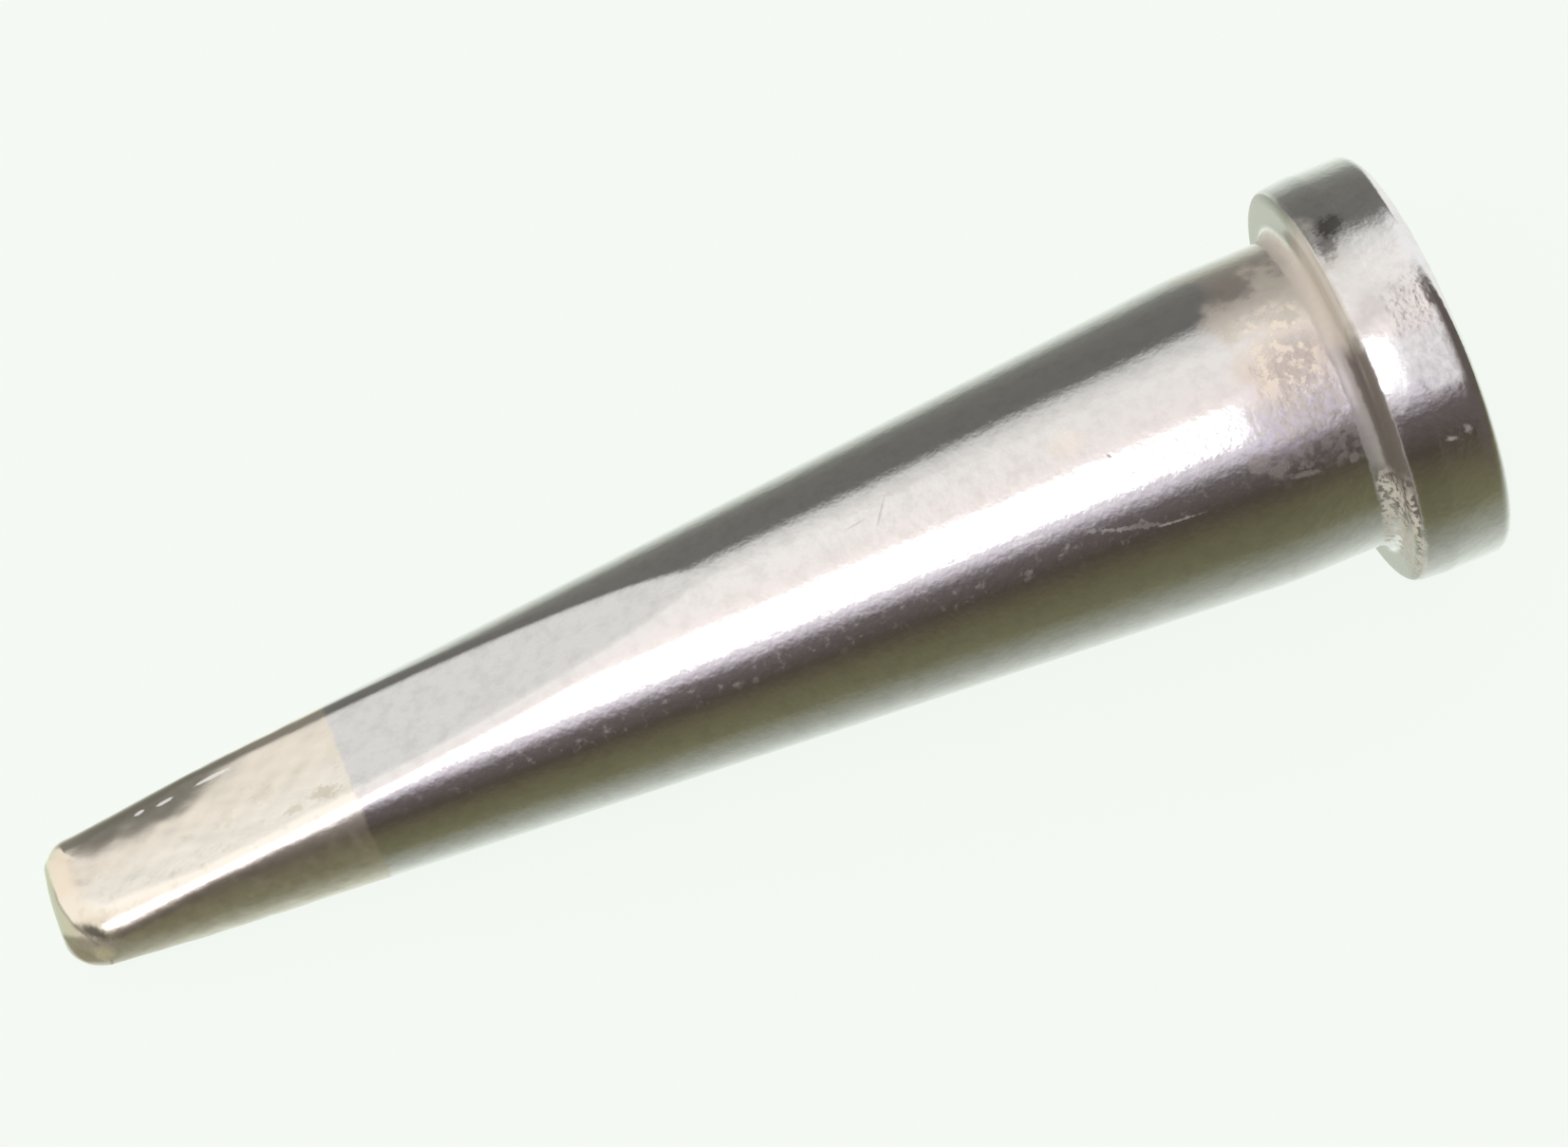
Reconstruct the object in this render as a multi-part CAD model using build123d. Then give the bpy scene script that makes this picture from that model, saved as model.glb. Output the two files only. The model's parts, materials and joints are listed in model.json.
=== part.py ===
"""Soldering iron tip: one turned bit with a milled blade and a heater bore, laid down as it rests.

All sizes are in millimetres. The bit is made along +X with the nose end at x = 0, and its flats face
up and down. It is then tipped nose-down until the collar and the nose both touch the floor, z = 0,
and centred over the origin.
"""
import math
import os

from build123d import *

# Lengths along the axis, counted from the nose end
overall_length = 34.1
cone_length = 29.2
flats_length = 16.3
collar_thickness = 2.35

# Widths and diameters across the axis
blade_width = 3.1
blade_thickness = 1.5
body_diameter = 7.6
collar_diameter = 9.9

# Heater bore, open at the rear
bore_diameter = 5.0
bore_depth = 11.0
bore_lead_in = 0.2
drill_point_angle = 118.0

# Rounded edges
blade_edge_radius = 0.55
blade_corner_radius = 0.7
collar_root_radius = 0.4
collar_edge_radius = 0.3

# A fillet takes at most this share of the face beside it, and a blade corner is at most this many
# times as round as the edges that run into it
largest_share_of_face = 0.9
largest_corner_to_edge = 1.7

# Worked out from the sizes above
blade_half_width = blade_width / 2
blade_half_thickness = blade_thickness / 2
body_radius = body_diameter / 2
collar_radius = collar_diameter / 2
bore_radius = bore_diameter / 2
collar_front = overall_length - collar_thickness
collar_height = collar_radius - body_radius
cone_slope = (body_radius - blade_half_width) / cone_length
flat_rise = blade_half_width + cone_slope * flats_length - blade_half_thickness
flat_slope = flat_rise / flats_length
bore_floor = overall_length - bore_depth
drill_point_length = bore_radius / math.tan(math.radians(drill_point_angle / 2))

# The fillets as cut, each kept to the faces that it lies between
edge_round = min(blade_edge_radius, largest_share_of_face * blade_half_thickness)
corner_room = largest_share_of_face * (blade_half_width - blade_half_thickness)
corner_round = min(blade_corner_radius, corner_room, largest_corner_to_edge * edge_round)
rim_round = min(collar_edge_radius, largest_share_of_face * min(collar_thickness, collar_height) / 2)
root_round = min(collar_root_radius, largest_share_of_face * (collar_height - rim_round))


def turned_blank():
    """Return the cone, cylinder, collar and bore as one body turned about X."""
    nose = [(0, 0), (0, blade_half_width), (cone_length, body_radius)]
    root = (collar_front, body_radius)
    rims = [(collar_front, collar_radius), (overall_length, collar_radius)]
    mouth = [(overall_length, bore_radius + bore_lead_in), (overall_length - bore_lead_in, bore_radius)]
    bore_end = [(bore_floor, bore_radius), (bore_floor - drill_point_length, 0)]
    section = make_face(Polyline(*nose, root, *rims, *mouth, *bore_end, close=True))
    section = fillet(corner_at(section, root), root_round)
    for rim in rims:
        section = fillet(corner_at(section, rim), rim_round)
    return revolve(section, axis=Axis.X)


def corner_at(section, point):
    """Return the corner of a section that lies at a point."""
    return section.vertices().sort_by_distance(point)[0]


def milling_cut():
    """Return the wedge that is milled off to leave the upper flat."""
    overrun = blade_width / 2
    low = blade_half_thickness - flat_slope * overrun
    high = blade_half_thickness + flat_slope * (flats_length + overrun)
    wedge = Polyline((-overrun, low), (flats_length + overrun, high), (-overrun, high), close=True)
    return extrude(Plane.XZ * make_face(wedge), amount=collar_radius, both=True)


def round_nose_corners(bit):
    """Round the two short corners where the sides of the cone meet the nose end."""
    end_edges = [edge for edge in bit.edges() if edge.bounding_box().max.X < edge_round]
    corners = [edge for edge in end_edges if edge.geom_type == GeomType.CIRCLE]
    return fillet(ShapeList(corners), corner_round)


def round_flat_edges(bit):
    """Round the whole outline of both flats."""
    planes = bit.faces().filter_by(GeomType.PLANE)
    flats = [face for face in planes if abs(face.normal_at().Z) > abs(face.normal_at().X)]
    outline = [edge for flat in flats for edge in flat.edges()]
    return fillet(ShapeList(outline), edge_round)


def bit_along_x():
    """Return the finished bit before it is laid down."""
    upper_cut = milling_cut()
    lower_cut = mirror(upper_cut, about=Plane.XY)
    bit = turned_blank() - upper_cut - lower_cut
    bit = round_flat_edges(round_nose_corners(bit))
    return bit.solids()[0]


def rest_angle():
    """Return the nose-down angle, in degrees, at which the collar and the nose touch one plane.

    The front rim of the collar and the lower edge of the nose are two circles seen from the side,
    and the plane is the line that touches both from below.
    """
    rim_drop = collar_radius - rim_round
    nose_drop = blade_half_thickness + flat_slope * edge_round - edge_round * math.hypot(1, flat_slope)
    run = collar_front + rim_round - edge_round
    drop = rim_drop - nose_drop
    centre_line = math.atan2(drop, run)
    touch = math.asin((rim_round - edge_round) / math.hypot(run, drop))
    return math.degrees(centre_line + touch)


def laid_down(bit):
    """Tip the bit onto its collar and nose, and set it on the floor over the origin."""
    lying = bit.rotate(Axis.Y, -rest_angle())
    box = lying.bounding_box()
    return Pos(-box.center().X, -box.center().Y, -box.min.Z) * lying


if __name__ == "__main__":
    os.makedirs("parts", exist_ok=True)
    export_step(laid_down(bit_along_x()), "parts/tip_body.step")
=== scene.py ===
"""Looks of a soldering iron tip: a turned, chromed bit with a milled blade, tinned and heat-stained.

Lengths are in millimetres in the bit's own frame, x along its axis from the nose end, z square to its
flats, and a mesh is written in metres in the row frame. Angles are in degrees.
"""

import json
import logging
import math
from dataclasses import dataclass, field
from enum import Enum

import bpy
import numpy as np
from mathutils import Matrix, Vector

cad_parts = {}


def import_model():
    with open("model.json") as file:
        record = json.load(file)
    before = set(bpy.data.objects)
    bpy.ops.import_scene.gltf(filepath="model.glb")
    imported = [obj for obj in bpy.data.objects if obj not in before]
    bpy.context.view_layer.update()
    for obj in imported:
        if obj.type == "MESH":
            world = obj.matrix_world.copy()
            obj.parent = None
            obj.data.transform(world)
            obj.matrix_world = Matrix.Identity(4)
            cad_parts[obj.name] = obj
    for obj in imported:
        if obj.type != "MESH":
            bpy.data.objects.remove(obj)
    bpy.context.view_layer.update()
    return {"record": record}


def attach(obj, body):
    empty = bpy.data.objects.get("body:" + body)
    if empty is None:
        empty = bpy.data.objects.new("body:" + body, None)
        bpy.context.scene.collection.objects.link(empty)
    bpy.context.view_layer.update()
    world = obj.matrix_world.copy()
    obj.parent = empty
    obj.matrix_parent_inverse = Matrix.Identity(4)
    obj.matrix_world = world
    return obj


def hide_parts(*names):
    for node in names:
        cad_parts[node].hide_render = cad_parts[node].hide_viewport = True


MM = 0.001
LOG = logging.getLogger("soldering_iron_tip")
Colour = tuple[float, float, float]
Socket = bpy.types.NodeSocket
Value = Socket | float
Tint = Socket | Colour


def linear(red: float, green: float, blue: float) -> Colour:
    """Turn a display colour into linear light by the sRGB curve.

    Args:
        red: The red channel, 0 to 255.
        green: The green channel, 0 to 255.
        blue: The blue channel, 0 to 255.

    Returns:
        The three channels as shares of full light.
    """
    shares = np.array([red, green, blue]) / 255
    light = np.where(shares <= 0.04045, shares / 12.92, ((shares + 0.055) / 1.055) ** 2.4)
    return tuple(float(v) for v in light)


@dataclass(frozen=True)
class BitSizes:
    """The bit's sizes, in millimetres along its axis from the nose end and out from the axis."""

    overall_length: float = 34.1
    cone_length: float = 29.2
    flats_length: float = 16.3
    collar_thickness: float = 2.35
    blade_half_width: float = 1.55
    blade_half_thickness: float = 0.75
    body_radius: float = 3.8
    collar_radius: float = 4.95
    bore_radius: float = 2.5
    bore_depth: float = 11.0
    bore_lead_in: float = 0.2
    drill_point_angle: float = 118.0
    root_round: float = 0.4
    rim_round: float = 0.3
    crown_length: float = 0.85
    crown_drop: float = 0.085
    tin_length: float = 7.43

    @property
    def collar_front(self) -> float:
        """How far the collar's front face is from the nose end."""
        return self.overall_length - self.collar_thickness

    @property
    def cone_slope(self) -> float:
        """How much the cone's radius grows for each millimetre along the axis."""
        return (self.body_radius - self.blade_half_width) / self.cone_length

    @property
    def flat_slope(self) -> float:
        """How much a flat rises from the axis for each millimetre along it."""
        rise = self.blade_half_width + self.cone_slope * self.flats_length - self.blade_half_thickness
        return rise / self.flats_length

    def turned_radius(self, x: float) -> float:
        """Return how far the turned skin is from the axis at a place along it."""
        cone = min(self.blade_half_width + self.cone_slope * x, self.body_radius)
        return self.collar_radius if x > self.collar_front else cone


@dataclass(frozen=True)
class BitPlace:
    """Where the bit lies in the row frame: its nose end in metres, and its own three directions."""

    nose: np.ndarray
    along: np.ndarray
    across: np.ndarray
    up: np.ndarray

    @classmethod
    def from_record(cls, record: dict, length: float) -> "BitPlace":
        """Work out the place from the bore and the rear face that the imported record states.

        Args:
            record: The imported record.
            length: The bit's overall length in millimetres.

        Returns:
            The bit's place in the row frame.
        """
        mounts = {mount["name"]: mount for mount in record["mounts"]}
        bore = np.array(mounts["heater_bore"]["pos_m"], float)
        along = np.array(mounts["heater_bore"]["axis"], float)
        rear = np.array(mounts["collar_rear"]["pos_m"], float)
        rear_centre = bore + along * float((rear - bore) @ along)
        across = np.array([0.0, 1.0, 0.0])
        return cls(rear_centre - along * length * MM, along, across, np.cross(along, across))

    def direction(self, x: float, y: float, z: float) -> np.ndarray:
        """Turn a direction of the bit's own frame into the row frame."""
        return x * self.along + y * self.across + z * self.up

    def to_row(self, points: np.ndarray) -> np.ndarray:
        """Turn points of the bit's own frame, in millimetres, into the row frame, in metres."""
        return self.nose + MM * points @ np.stack([self.along, self.across, self.up])


@dataclass(frozen=True)
class Wall:
    """A surface as a set of points sees it: how far each is outside it, and the direction straight out."""

    distance: np.ndarray
    outward: np.ndarray

    def meet(self, other: "Wall", radius: float | np.ndarray) -> "Wall":
        """Join this wall to another so that they meet in a round edge.

        Formula: where a point lies beyond both walls once each has been moved in by the radius, and
        between their two normals, its distance is the one from the line in which the moved walls cross,
        less the radius. Elsewhere it is the larger of the two distances.

        Args:
            other: The other wall.
            radius: The edge's radius at each point.

        Returns:
            The wall that the two make together.
        """
        lean = np.clip((self.outward * other.outward).sum(-1), -0.999, 0.999)
        first, second = self.distance + radius, other.distance + radius
        spread = 1 - lean**2
        square = (first**2 + second**2 - 2 * lean * first * second) / spread
        from_line = np.sqrt(np.maximum(square, 1e-12))
        between = (first > lean * second) & (second > lean * first)
        pull = np.where(between, (first - lean * second) / spread / from_line, first >= second)
        other_pull = np.where(between, (second - lean * first) / spread / from_line, first < second)
        distance = np.where(between, from_line, np.maximum(first, second)) - radius
        outward = pull[..., None] * self.outward + other_pull[..., None] * other.outward
        return Wall(distance, outward)


def facing_axes(facing: float) -> tuple[np.ndarray, np.ndarray]:
    """Return two directions of the bit's own frame, both square to its axis.

    Args:
        facing: The angle round the axis from the upper flat's normal to the facing side.

    Returns:
        The direction towards the facing side, and the one down along it.
    """
    turn = math.radians(facing)
    towards = np.array([0, -math.sin(turn), math.cos(turn)])
    return towards, np.array([0, -math.cos(turn), -math.sin(turn)])


def waves(points: np.ndarray, wavelength: float, seed: int, count: int = 24) -> np.ndarray:
    """Return a smooth bumpy field, about -1 to 1, at each point.

    Formula: the sum of plane sine waves of about one wavelength, in directions and phases drawn from
    the seed, over the square root of twice their number.

    Args:
        points: The points.
        wavelength: About how far one bump is from the next.
        seed: The seed of the directions and phases.
        count: How many waves are added up.

    Returns:
        The field at each point.
    """
    chance = np.random.default_rng(seed)
    heading = chance.normal(size=(3, count))
    heading /= np.linalg.norm(heading, axis=0)
    pitch = chance.uniform(0.7, 1.4, count) * 2 * math.pi / wavelength
    phase = chance.uniform(0, 2 * math.pi, count)
    return np.sin(points @ (heading * pitch) + phase).sum(-1) / math.sqrt(2 * count)


def rise(value: np.ndarray, low: float, high: float) -> np.ndarray:
    """Return the smooth step from 0 at one limit to 1 at the other: three squares less two cubes."""
    share = np.clip((value - low) / (high - low), 0, 1)
    return share * share * (3 - 2 * share)


def divided(start: np.ndarray, end: np.ndarray, step: float) -> np.ndarray:
    """Return the points between two ends, neither of them included, at even steps.

    Formula: the start plus even shares of the way to the end.

    Args:
        start: The first end.
        end: The second end.
        step: The longest step.

    Returns:
        The points between, in order.
    """
    count = max(int(math.ceil(float(np.linalg.norm(end - start)) / step)), 1)
    share = np.linspace(0, 1, count + 1)[1:-1, None]
    return start + (end - start) * share


@dataclass(frozen=True)
class Corner:
    """A corner of a turned profile: its place along the axis, its radius from it, and how round it is."""

    x: float
    radius: float
    rounding: float = 0.0


def rounded_profile(corners: list[Corner], arc_steps: int, run_step: float) -> np.ndarray:
    """Return the points of a turned profile with its corners rounded.

    Formula: each corner is replaced by the arc that touches both of its runs, worked out as the arc's
    centre plus one rounding along and across the first run by the sine and cosine of the turn, and each
    straight run is divided evenly.

    Args:
        corners: The profile's corners, in order.
        arc_steps: The number of steps round each arc.
        run_step: The longest step on a straight run.

    Returns:
        An array of (x, radius) rows.
    """
    at = np.array([[c.x, c.radius] for c in corners])
    runs = np.diff(at, axis=0)
    headings = runs / np.linalg.norm(runs, axis=1, keepdims=True)
    pieces = [at[:1]]
    for corner, point, before, after in zip(corners[1:-1], at[1:-1], headings[:-1], headings[1:]):
        turn = math.acos(float(np.clip(before @ after, -1, 1)))
        reach = corner.rounding * math.tan(turn / 2)
        side = np.sign(before[0] * after[1] - before[1] * after[0])
        normal = side * np.array([-before[1], before[0]])
        centre = point - before * reach + normal * corner.rounding
        angle = np.linspace(0, turn, arc_steps + 1)[:, None]
        arc = centre + corner.rounding * (before * np.sin(angle) - normal * np.cos(angle))
        pieces.append(divided(pieces[-1][-1], arc[0], run_step))
        pieces.append(arc)
    pieces.append(divided(pieces[-1][-1], at[-1], run_step))
    return np.concatenate([*pieces, at[-1:]])


@dataclass(frozen=True)
class BladeEdges:
    """How round the blade's near and far edges are, at the nose and at the flats' end, and its nose.

    The nose's end bulges a little ahead, leans so that its lower edge is foremost, and its upper rounding
    is longer along the axis than across it, by the stretch. What differs from side to side changes over
    the side change each way from the middle, and what differs from top to bottom over the height change.
    """

    near_nose: float = 0.48
    near_end: float = 1.05
    far_nose: float = 0.35
    far_end: float = 0.95
    upper_tip: float = 0.74
    lower_tip: float = 0.40
    near_corner: float = 0.95
    far_corner: float = 0.45
    bulge: float = 0.06
    chin: float = 0.128
    chin_height: float = 0.27
    stretch: float = 1.35
    far_growth: float = 0.7
    side_change: float = 0.4
    height_change: float = 0.3

    def far_side(self, y: np.ndarray) -> np.ndarray:
        """Return 0 on the near side and 1 on the far one, with a smooth change between them."""
        return rise(y, -self.side_change, self.side_change)

    def upper_side(self, z: np.ndarray) -> np.ndarray:
        """Return 0 on the lower side and 1 on the upper one, with a smooth change between them."""
        return rise(z, -self.height_change, self.height_change)

    def corner(self, y: np.ndarray) -> np.ndarray:
        """Return the nose corner's radius, with a smooth change from the near side to the far one."""
        return self.near_corner + (self.far_corner - self.near_corner) * self.far_side(y)

    def radius(self, points: np.ndarray, ahead: np.ndarray, flats_length: float) -> np.ndarray:
        """Return the edge radius at each point.

        Formula: an even change from the nose to the flats' end on the near side and a quicker start on
        the far one, a smooth change from side to side, and the tip's own radius as the wall turns to
        face ahead.

        Args:
            points: The points, in the bit's own frame.
            ahead: How far the wall's normal points ahead, 0 to 1.
            flats_length: How long the flats are.

        Returns:
            The radius at each point.
        """
        x, y, z = points[..., 0], points[..., 1], points[..., 2]
        share = np.clip(x / flats_length, 0, 1)
        near = self.near_nose + (self.near_end - self.near_nose) * share
        far = self.far_nose + (self.far_end - self.far_nose) * share**self.far_growth
        side = near + (far - near) * self.far_side(y)
        tip = self.lower_tip + (self.upper_tip - self.lower_tip) * self.upper_side(z)
        return side + (tip - side) * rise(ahead, 0.0, 1.0)


@dataclass(frozen=True)
class SolderCoat:
    """The tinned nose: a thin lumpy coat, worn down to a slope along the upper flat's far edge.

    The worn slope starts at a place across the flat, which moves by the drift for each millimetre along
    it, wavers by the waver, and moves out by the runout at the slope's two ends.
    """

    length: float
    fade: float = 0.3
    lump: float = 0.005
    lump_level: float = 1.2
    lump_length: float = 1.1
    fine_share: float = 0.5
    fine_length: float = 0.45
    worn_start: float = 0.62
    worn_drift: float = 0.05
    worn_waver: float = 0.03
    waver_length: float = 0.8
    worn_slope: float = 9.0
    worn_front: float = -0.2
    worn_front_fade: float = 1.3
    worn_length: float = 5.9
    worn_fade: float = 2.8
    worn_runout: float = 1.2
    worn_round: float = 3.3

    def sag(self, points: np.ndarray) -> np.ndarray:
        """Return how far the coat lies under the milled form at each point.

        Formula: waves of two sizes, never above the form, that fade out at the end of the coat.

        Args:
            points: The points, in the bit's own frame.

        Returns:
            The depth at each point.
        """
        coat = 1 - rise(points[..., 0], self.length - self.fade, self.length)
        coarse = waves(points, self.lump_length, seed=5)
        fine = self.fine_share * waves(points, self.fine_length, seed=6)
        lumps = self.lump * (self.lump_level + coarse + fine)
        return coat * np.maximum(lumps, 0)

    def worn(self, points: np.ndarray, flat: Wall) -> Wall:
        """Return the upper flat with its far side worn down.

        Formula: a second plane that falls at the slope away from a wavy line along the flat, which runs
        out over the far edge at both ends, meets the flat in a wide rounding.

        Args:
            points: The points, in the bit's own frame.
            flat: The nearer flat, as the points see it.

        Returns:
            The flat as it is worn.
        """
        x, y, z = points[..., 0], points[..., 1], points[..., 2]
        out = rise(x, self.worn_length - self.worn_fade, self.worn_length)
        out = out + rise(-x, -self.worn_front_fade, -self.worn_front)
        waver = self.worn_waver * waves(points, self.waver_length, seed=8)
        wavering = self.worn_start - self.worn_drift * x + waver
        off_the_flat = 3.0
        start = np.where(z > 0, wavering + self.worn_runout * out, off_the_flat)
        slope = math.radians(self.worn_slope)
        across = np.stack([0 * x, np.ones_like(x), 0 * x], -1)
        fallen = Wall(flat.distance * math.cos(slope) + (y - start) * math.sin(slope),
                      flat.outward * math.cos(slope) + across * math.sin(slope))
        return flat.meet(fallen, self.worn_round)


@dataclass
class Blade:
    """The front of the bit, from the nose end back to where the cone is whole again.

    The cone is measured across the flats ahead of the cone change, and from the axis where it is whole.
    Its normal starts to turn with the height at the turn start, and it narrows no more ahead of the cone
    start, nor across the flats beyond the least narrowing, which is a square of a share.
    """

    sizes: BitSizes
    edges: BladeEdges
    coat: SolderCoat
    cap_centre: float = 0.95
    end: float = 20.0
    cone_start: float = -0.5
    turn_start: float = 0.3
    cone_change: float = 1.5
    whole_cone: float = 4.0
    least_narrowing: float = 0.04
    cap_rows: int = 64
    body_rows: int = 165
    row_growth: float = 1.3
    halvings: int = 36

    def walls(self, points: np.ndarray) -> tuple[Wall, Wall, Wall]:
        """Return the cone, the end plane and the nearer flat as the points see them.

        Formula: the cone's distance is the radius from the axis less the cone's own, but near the nose
        it is measured straight across the flats, where the cone's own is the root of its radius squared
        less the height squared. The flat's is the height less the flat's own. Each is times the cosine
        of its slope. The end's is the bulge times the square of how far a point is to the side, plus the
        chin times its height, less x, over the stretch.

        Args:
            points: The points, in the bit's own frame.

        Returns:
            The cone, the end plane and the nearer flat.
        """
        x, y, z = points[..., 0], points[..., 1], points[..., 2]
        sizes = self.sizes
        radius = np.maximum(np.hypot(y, z), 1e-9)
        cone_radius = sizes.blade_half_width + sizes.cone_slope * np.maximum(x, self.cone_start)
        cone_cos = 1 / math.hypot(1, sizes.cone_slope)
        flat_cos = 1 / math.hypot(1, sizes.flat_slope)
        ones = np.ones_like(x)
        narrowing = np.sqrt(np.maximum(1 - (z / cone_radius) ** 2, self.least_narrowing))
        whole = rise(x, self.cone_change, self.whole_cone)
        across_gap = (np.abs(y) - cone_radius * narrowing) * narrowing
        cone_gap = (across_gap + (radius - cone_radius - across_gap) * whole) * cone_cos
        flat_gap = (np.abs(z) - sizes.blade_half_thickness - sizes.flat_slope * x) * flat_cos
        side_z = z / np.maximum(radius, cone_radius) * rise(x, self.turn_start, self.whole_cone)
        side_y = np.sign(y) * np.sqrt(1 - side_z**2)
        cone_out = np.stack([-sizes.cone_slope * ones, side_y, side_z], -1) * cone_cos
        flat_out = np.stack([-sizes.flat_slope * ones, 0 * x, np.where(z < 0, -1, 1)], -1) * flat_cos
        end_out = np.stack([-ones, 0 * x, 0 * x], -1)
        stretch = 1 + (self.edges.stretch - 1) * self.edges.upper_side(z)
        chin = self.edges.chin * (z - self.edges.chin_height)
        end_gap = (self.edges.bulge * y**2 + chin - x) / stretch
        return Wall(cone_gap, cone_out), Wall(end_gap, end_out), Wall(flat_gap, flat_out)

    def depth(self, points: np.ndarray) -> np.ndarray:
        """Return how far each point is outside the blade, less than nothing inside it.

        Formula: the cone meets the end plane in the corner rounding, and both meet the nearer flat in
        the edge rounding.

        Args:
            points: The points, in the bit's own frame.

        Returns:
            The distance outside the blade at each point.
        """
        cone, end, flat = self.walls(points)
        side = cone.meet(end, self.edges.corner(points[..., 1]))
        ahead = -side.outward[..., 0]
        radius = self.edges.radius(points, ahead, self.sizes.flats_length)
        return side.meet(self.coat.worn(points, flat), radius).distance

    def rays(self, around: np.ndarray) -> tuple[np.ndarray, np.ndarray]:
        """Return the starts and directions of the rays that the surface is found along.

        Formula: over the nose the rays fan out from one point of the axis, from straight ahead to square,
        and behind it they are square to the axis and their start moves back, in steps that grow.

        Args:
            around: The angles round the axis.

        Returns:
            The starts and the directions, rows by columns.
        """
        fan = np.linspace(0, math.pi / 2, self.cap_rows, endpoint=False)
        share = np.linspace(0, 1, self.body_rows)
        back = self.cap_centre + (self.end - self.cap_centre) * share**self.row_growth
        lean = np.concatenate([fan, np.full(self.body_rows, math.pi / 2)])[:, None]
        start_x = np.concatenate([np.full(self.cap_rows, self.cap_centre), back])[:, None]
        ones = np.ones_like(around)[None, :]
        starts = np.stack([start_x * ones, 0 * lean * ones, 0 * lean * ones], -1)
        headings = [-np.cos(lean) * ones, np.sin(lean) * np.sin(around), np.sin(lean) * np.cos(around)]
        return starts, np.stack(headings, -1)

    def grid(self, around: np.ndarray) -> np.ndarray:
        """Return the blade's surface as rows of rings.

        Formula: along each ray the distance at which the depth is nothing, found by halving the stretch
        that holds it, less the sag of the solder coat.

        Args:
            around: The angles round the axis.

        Returns:
            The surface's points, rows by columns.
        """
        starts, headings = self.rays(around)
        near = np.zeros(starts.shape[:2])
        far = np.full(starts.shape[:2], self.sizes.collar_radius)
        for _ in range(self.halvings):
            middle = (near + far) / 2
            outside = self.depth(starts + headings * middle[..., None]) > 0
            far = np.where(outside, middle, far)
            near = np.where(outside, near, middle)
        found = starts + headings * near[..., None]
        return found - headings * self.coat.sag(found)[..., None]


@dataclass
class TurnedRear:
    """The rear of the bit: the whole cone, the cylinder, the collar and the bore."""

    sizes: BitSizes
    start: float
    arc_steps: int = 9
    run_step: float = 0.22
    crisp: float = 0.05
    shoulder: float = 11.0
    crown: float = 3.0

    def corners(self) -> list[Corner]:
        """Return the profile's corners.

        Returns:
            The corners, from the cone round to the bottom of the bore.
        """
        s = self.sizes
        floor = s.overall_length - s.bore_depth
        point = s.bore_radius / math.tan(math.radians(s.drill_point_angle / 2))
        return [
            Corner(self.start, s.blade_half_width + s.cone_slope * self.start),
            Corner(s.cone_length, s.body_radius, self.shoulder),
            Corner(s.collar_front, s.body_radius, s.root_round),
            Corner(s.collar_front, s.collar_radius - s.crown_drop, s.rim_round),
            Corner(s.collar_front + s.crown_length, s.collar_radius, self.crown),
            Corner(s.overall_length, s.collar_radius, s.rim_round),
            Corner(s.overall_length, s.bore_radius + s.bore_lead_in, self.crisp),
            Corner(s.overall_length - s.bore_lead_in, s.bore_radius, self.crisp),
            Corner(floor, s.bore_radius, self.crisp),
            Corner(floor - point, 0.0),
        ]

    def grid(self, around: np.ndarray) -> np.ndarray:
        """Return the turned surface as rows of rings.

        Formula: each profile point's radius times the sine and cosine of the angle about the axis.

        Args:
            around: The angles round the axis.

        Returns:
            The surface's points, rows by columns.
        """
        profile = rounded_profile(self.corners(), self.arc_steps, self.run_step)
        x, radius = profile[:, :1], profile[:, 1:]
        ones = np.ones_like(around)[None, :]
        return np.stack([x * ones, radius * np.sin(around), radius * np.cos(around)], -1)


def closed_mesh(name: str, rings: np.ndarray, place: BitPlace) -> bpy.types.Object:
    """Make a closed object from rows of rings whose first and last rows are single points.

    Formula: every pair of neighbours on two neighbouring rings gives a four-sided face, and each end
    point is joined to its ring by three-sided faces.

    Args:
        name: The object's name.
        rings: The surface's points, rows by columns, in the bit's own frame.
        place: Where the bit lies.

    Returns:
        The new object, linked to the scene, with its own-frame places in the attribute "place".
    """
    columns = rings.shape[1]
    inner = rings[1:-1].reshape(-1, 3)
    points = np.concatenate([inner, rings[:1, 0], rings[-1:, 0]])
    index = np.arange(len(inner)).reshape(-1, columns)
    turned = np.roll(index, -1, axis=1)
    quads = np.stack([index[:-1], index[1:], turned[1:], turned[:-1]], -1).reshape(-1, 4)
    first, last = len(inner), len(inner) + 1
    nose_fan = np.stack([np.full(columns, first), index[0], turned[0]], -1)
    bore_fan = np.stack([np.full(columns, last), turned[-1], index[-1]], -1)
    mesh = bpy.data.meshes.new(name)
    faces = quads.tolist() + nose_fan.tolist() + bore_fan.tolist()
    mesh.from_pydata(place.to_row(points).tolist(), [], faces)
    mesh.polygons.foreach_set("use_smooth", np.ones(len(faces), bool))
    own_place = mesh.attributes.new("place", "FLOAT_VECTOR", "POINT")
    own_place.data.foreach_set("vector", points.astype(np.float32).ravel())
    mesh.update()
    piece = bpy.data.objects.new(name, mesh)
    bpy.context.scene.collection.objects.link(piece)
    return piece


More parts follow.
